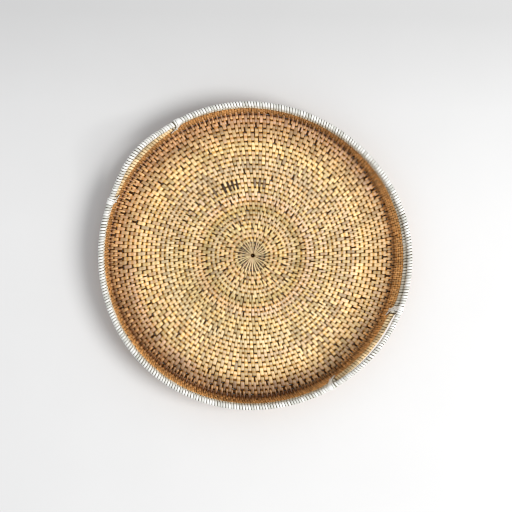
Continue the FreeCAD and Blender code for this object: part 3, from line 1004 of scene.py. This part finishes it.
# near-black in the grooves between rows: painted shade, partly dirt
FLOOR_GROOVE = (0.060, 0.020, 0.002)
WALL_GROOVE = (0.045, 0.012, 0.001)
FLOOR_ROUGHNESS = 0.42
WALL_ROUGHNESS = 0.38


# ---- camera, light and ground ----
PICTURE_RIGHT = math.radians(40)      # bearing of the picture's right-hand side
TILT = math.radians(4.4)              # the camera stands a little to the picture's left
DISTANCE = 1.55
VIEW_WIDTH = 0.737                    # what the picture's width spans at the rim
right = Vector((math.cos(PICTURE_RIGHT), math.sin(PICTURE_RIGHT), 0))
ahead = Vector((-math.sin(PICTURE_RIGHT), math.cos(PICTURE_RIGHT), 0))
high = Vector((0, 0, 1))
AIM = high * 50 * MM + right * 1.4 * MM - ahead * 0.7 * MM
SENSOR_WIDTH = 36
KEY_PLACE = right * 1.45 - ahead * 0.45 + high * 2.3
KEY_SIZE = 1.5
KEY_WATTS = 61
KEY_COLOUR = (1.0, 0.99, 0.97)
SKY_COLOUR = (0.97, 0.98, 1.0, 1)
SKY_STRENGTH = 0.71
GROUND_HALF = 5.0


def add_camera():
    back = high * math.cos(TILT) - right * math.sin(TILT)
    side = right * math.cos(TILT) + high * math.sin(TILT)
    place = AIM + back * DISTANCE
    data = bpy.data.cameras.new("camera")
    data.sensor_width = SENSOR_WIDTH
    data.lens = data.sensor_width * DISTANCE / VIEW_WIDTH
    camera = bpy.data.objects.new("camera", data)
    bpy.context.scene.collection.objects.link(camera)
    camera.matrix_world = Matrix((
        (side.x, ahead.x, back.x, place.x),
        (side.y, ahead.y, back.y, place.y),
        (side.z, ahead.z, back.z, place.z),
        (0, 0, 0, 1)))
    bpy.context.scene.camera = camera


def add_key_light():
    data = bpy.data.lights.new("key", "AREA")
    data.shape = "DISK"
    data.size = KEY_SIZE
    data.energy = KEY_WATTS
    data.color = KEY_COLOUR
    lamp = bpy.data.objects.new("key", data)
    bpy.context.scene.collection.objects.link(lamp)
    lamp.location = KEY_PLACE
    lamp.rotation_euler = (AIM - KEY_PLACE).to_track_quat("-Z", "Y").to_euler()


def add_studio():
    half = GROUND_HALF
    corners = [(-half, -half, 0), (half, -half, 0), (half, half, 0), (-half, half, 0)]
    mesh = bpy.data.meshes.new("studio_floor")
    mesh.from_pydata(corners, [], [(0, 1, 2, 3)])
    mesh.materials.append(floor_material())
    ground = bpy.data.objects.new("studio_floor", mesh)
    bpy.context.scene.collection.objects.link(ground)
    ground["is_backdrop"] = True
    add_key_light()
    world = bpy.data.worlds.new("studio")
    world.use_nodes = True
    bpy.context.scene.world = world
    sky = world.node_tree.nodes["Background"]
    sky.inputs["Color"].default_value = SKY_COLOUR
    sky.inputs["Strength"].default_value = SKY_STRENGTH
    bpy.context.scene.view_settings.view_transform = "Standard"
    bpy.context.scene.cycles.filter_width = 1.0


def build():
    floor_lengths = rod_lengths(0.0, FLOOR_END)
    wall_lengths = rod_lengths(FLOOR_END, COIL_END)
    floor_look = rattan_look(
        "floor_rattan", FLOOR_LOTS, FLOOR_RINGS, PAINTED_SHADE_RINGS, PAINTED_LIGHT_RINGS,
        FLOOR_EDGES, FLOOR_GROOVE, FLOOR_ROUGHNESS)
    wall_look = rattan_look(
        "wall_rattan", WALL_LOTS, WALL_RINGS, PAINTED_SHADE_WALL_RINGS, PAINTED_LIGHT_WALL_RINGS,
        WALL_EDGES, WALL_GROOVE, WALL_ROUGHNESS)
    sill_look = rattan_look(
        "sill_rattan", SILL_LOTS, PLAIN_RINGS, PLAIN_RINGS, PLAIN_RINGS,
        FLOOR_EDGES, FLOOR_GROOVE, FLOOR_ROUGHNESS)
    white = white_look("white_strip", (0.60, 0.60, 0.55), (0.80, 0.79, 0.75), (0.90, 0.90, 0.87))
    # lower rim row: partly painted shade under the upper row, partly a yellowed strip
    shaded_yellow_white = white_look("shaded_yellow_white_strip", (0.50, 0.44, 0.33), (0.65, 0.59, 0.47), (0.78, 0.73, 0.62))
    # the coil's rod shows only deep in the slits between stitches; its near-black is painted shade, as in
    # the grooves
    core_in_painted_shade_look = rod_look("coil_core_painted_shade", (0.035, 0.012, 0.002), (0.10, 0.036, 0.006))
    rim_core = rod_look("rim_core", (0.08, 0.055, 0.03), (0.20, 0.15, 0.09))
    add_coil_bindings(floor_lengths, wall_lengths, floor_look, wall_look)
    add_coil_rods(floor_lengths, wall_lengths, core_in_painted_shade_look)
    add_rim(white, shaded_yellow_white, sill_look, rim_core)
    add_lashings(white)


add_camera()
add_studio()
build()

sizes = {"cad": cad_box, "visual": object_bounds()}
plain = {name: [list(map(float, corner)) for corner in box] for name, box in sizes.items()}
